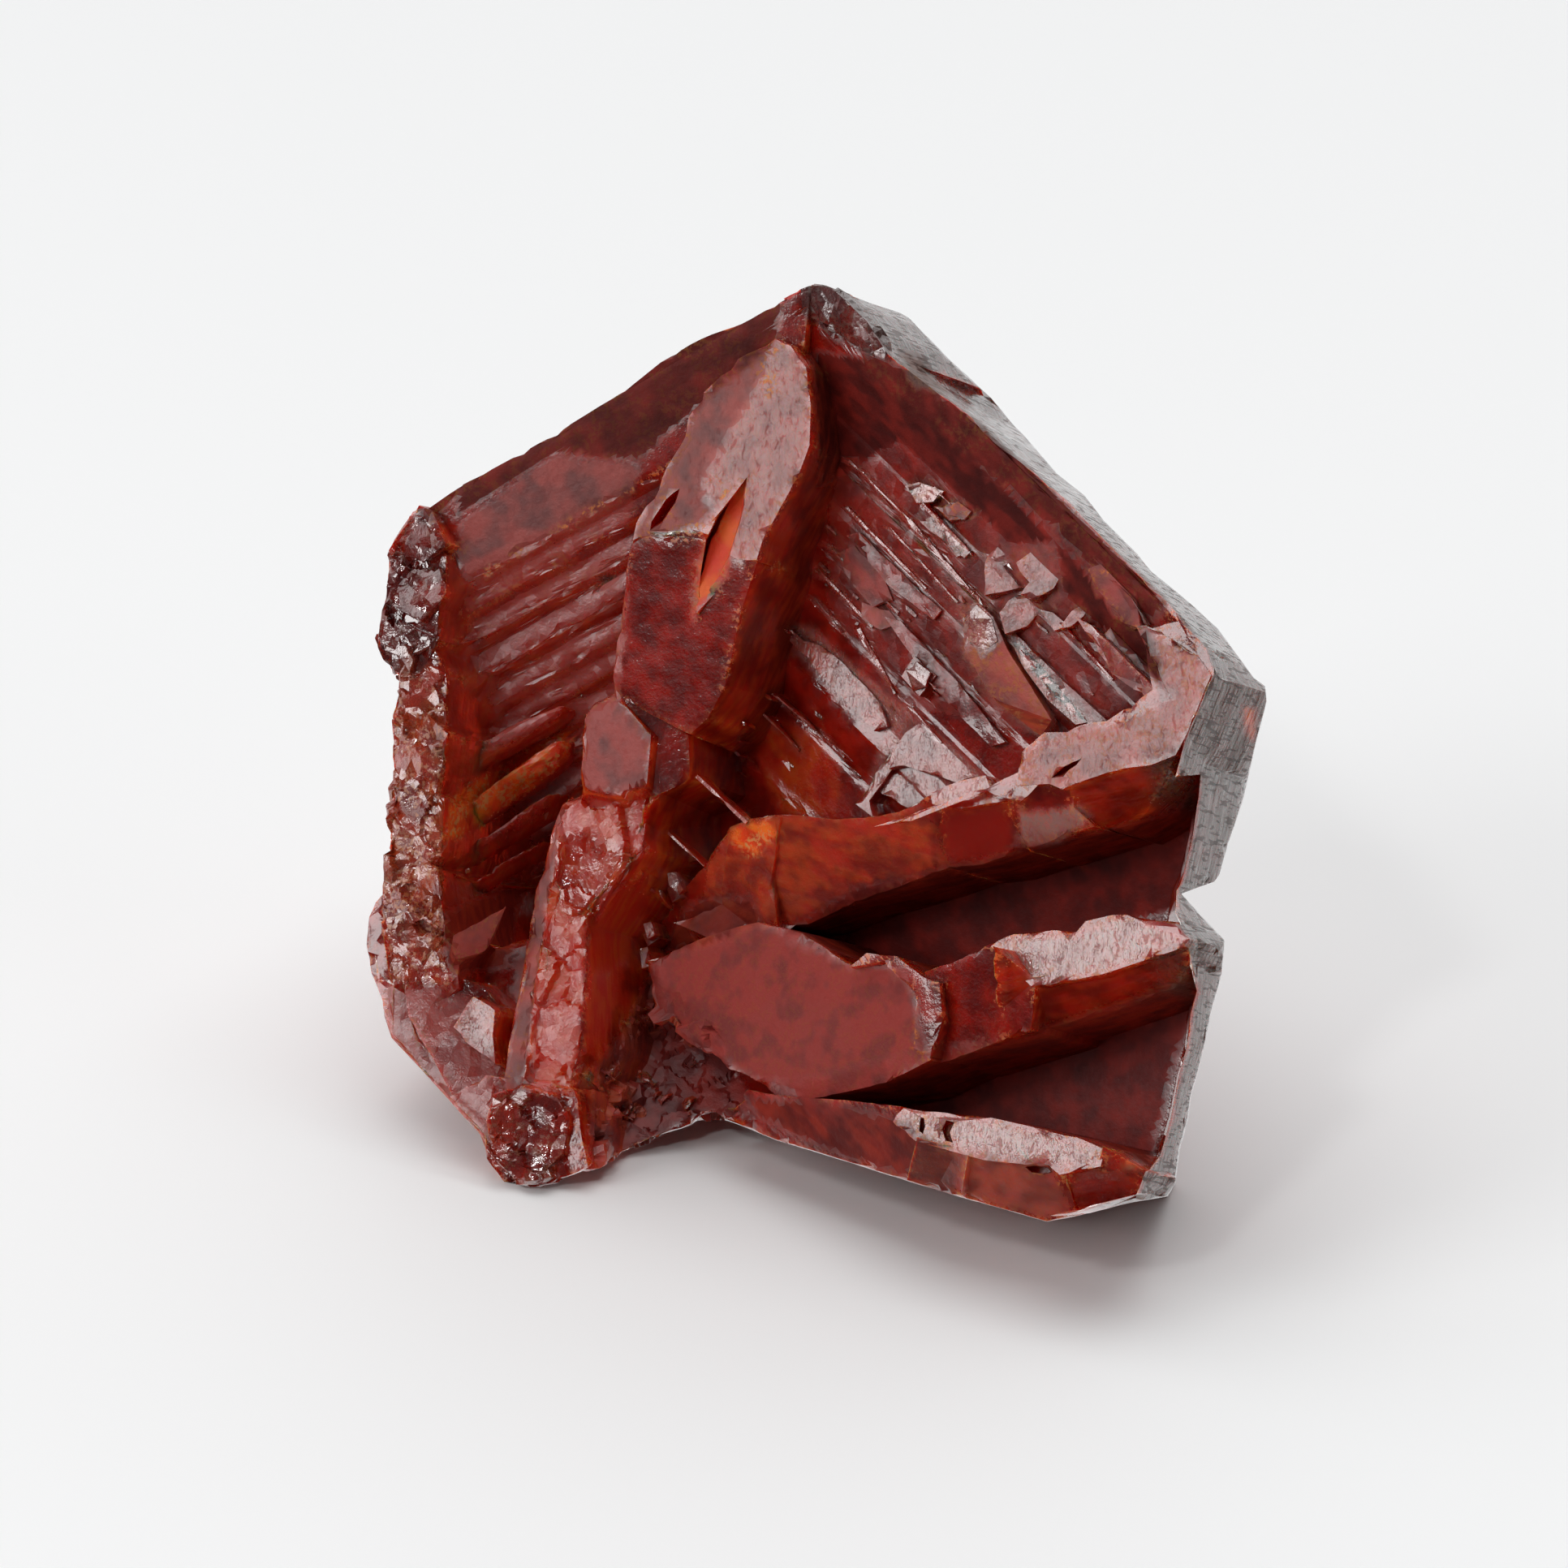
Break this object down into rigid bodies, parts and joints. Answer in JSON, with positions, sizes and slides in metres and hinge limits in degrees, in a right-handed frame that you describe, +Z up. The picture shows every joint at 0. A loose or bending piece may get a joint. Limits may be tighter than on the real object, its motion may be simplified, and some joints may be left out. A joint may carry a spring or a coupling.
{
  "type": "vanadinite crystal",
  "caption": "Deep red skeletal vanadinite crystal with sunken stepped faces between bright ribs, standing on a flat cut.",
  "frame": {"origin": "centre of the crystal's overall box in X and Y, at the height of the flat cut it rests on", "axes": "+Z up from the cut face, -Y towards the open basal face of the crystal, +X to its right as seen from in front"},
  "size_m": [0.0282, 0.0324, 0.0263],
  "materials": {
    "vanadinite": "adamantine lustre, translucent deep red"
  },
  "bodies": {
    "root": {"vanadinite_crystal": "vanadinite"}
  },
  "joints": []
}
